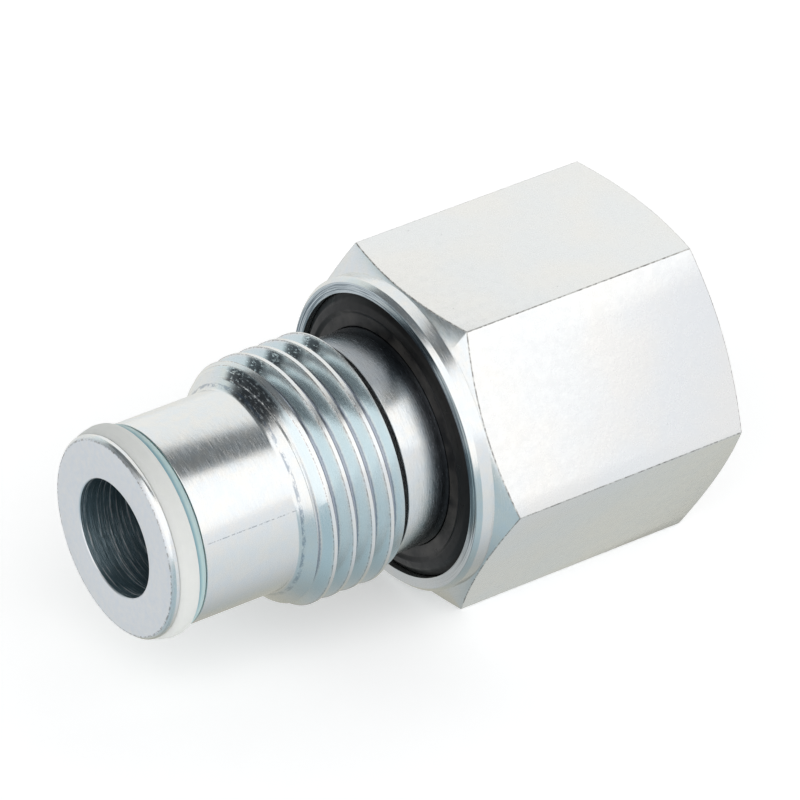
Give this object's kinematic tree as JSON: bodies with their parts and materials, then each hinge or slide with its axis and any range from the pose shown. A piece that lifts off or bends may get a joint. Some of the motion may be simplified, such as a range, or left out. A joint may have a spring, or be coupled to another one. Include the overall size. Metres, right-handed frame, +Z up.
{
  "type": "in-line poppet cartridge valve",
  "caption": "Screw-in hydraulic check cartridge: sealed nose spigot, male pipe thread, face seal in the collar, long hexagon with a female port, spring-loaded poppet inside.",
  "frame": {"origin": "middle of the footprint on the surface that the valve lies on, one hexagon flat down", "axes": "+X along the valve's axis from the nose to the rear port, +Z up, +Y across"},
  "size_m": [0.0512, 0.0312, 0.027],
  "materials": {
    "zinc_plate": "bright zinc plate with a clear blue passivate",
    "black_rubber": "satin black elastomer",
    "white_polymer": "off-white, slightly waxy",
    "teal_polyurethane": "pale translucent teal",
    "hardened_steel": "ground, hardened",
    "spring_steel": "dark drawn wire",
    "turned_steel": "fine turned",
    "brass": "stamped"
  },
  "bodies": {
    "body": {"valve_body": "zinc_plate", "face_seal_ring": "black_rubber", "nose_backup_ring": "white_polymer", "nose_o_ring": "teal_polyurethane", "seat_insert": "hardened_steel", "seat_o_ring": "black_rubber", "seat_backup_ring": "white_polymer", "poppet_cage": "turned_steel", "snap_ring": "spring_steel", "main_spring": "spring_steel"},
    "poppet": {"poppet": "hardened_steel"},
    "spring_carrier": {"spring_seat": "turned_steel", "thrust_washer": "brass"},
    "preload_screw": {"preload_screw": "turned_steel"},
    "lock_washer": {"lock_washer": "spring_steel"},
    "lock_ring": {"lock_ring": "turned_steel"}
  },
  "joints": [
    {"name": "poppet_lift", "type": "slide", "parent": "body", "child": "poppet", "axis": [1, 0, 0], "range_m": [0, 0.0025], "stiffness_N_per_m": 2000, "springref_m": -0.0016, "deforming": ["main_spring"]},
    {"name": "preload_travel", "type": "slide", "parent": "body", "child": "spring_carrier", "axis": [-1, 0, 0], "range_m": [0, 0.001], "deforming": ["main_spring"]},
    {"name": "preload_turn", "type": "hinge", "parent": "spring_carrier", "child": "preload_screw", "pos_m": [0.00725, 0, 0.0135], "axis": [-1, 0, 0], "range_deg": [0, 360]},
    {"name": "lock_travel", "type": "slide", "parent": "body", "child": "lock_washer", "axis": [1, 0, 0], "range_m": [0, 0.001]},
    {"name": "lock_turn", "type": "hinge", "parent": "lock_washer", "child": "lock_ring", "pos_m": [0.01095, 0, 0.0135], "axis": [1, 0, 0], "range_deg": [0, 360]}
  ],
  "couplings": [
    {"joint": "preload_turn", "follows": "preload_travel", "rad_per_m": 6283},
    {"joint": "lock_turn", "follows": "lock_travel", "rad_per_m": 6283}
  ]
}
